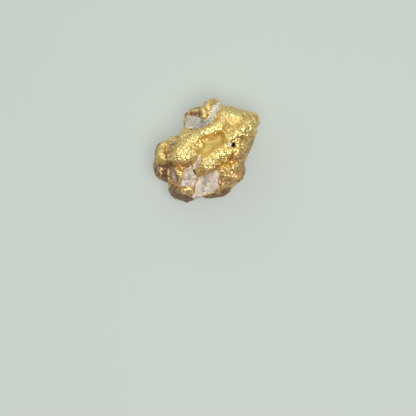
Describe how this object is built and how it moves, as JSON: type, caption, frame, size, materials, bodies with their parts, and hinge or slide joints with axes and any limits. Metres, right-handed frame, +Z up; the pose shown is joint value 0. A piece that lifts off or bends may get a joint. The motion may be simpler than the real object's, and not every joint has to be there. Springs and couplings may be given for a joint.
{
  "type": "gold nugget",
  "caption": "Small natural gold nugget with lumps, hollows and creases, milky quartz grown into it, and a worn underside that it rests on.",
  "frame": {"origin": "on the resting surface, under the middle of the nugget's plan", "axes": "+X to the head's side and +Y to the crest as seen from above, +Z up from the surface it lies on"},
  "size_m": [0.0112, 0.011, 0.0067],
  "materials": {
    "gold": "satin, hammered by the stream",
    "quartz": "dull, milky"
  },
  "bodies": {
    "root": {"gold": "gold", "quartz_upper": "quartz", "quartz_lower": "quartz", "quartz_cheek": "quartz", "quartz_sliver": "quartz", "quartz_vein": "quartz", "quartz_eye": "quartz"}
  },
  "joints": []
}
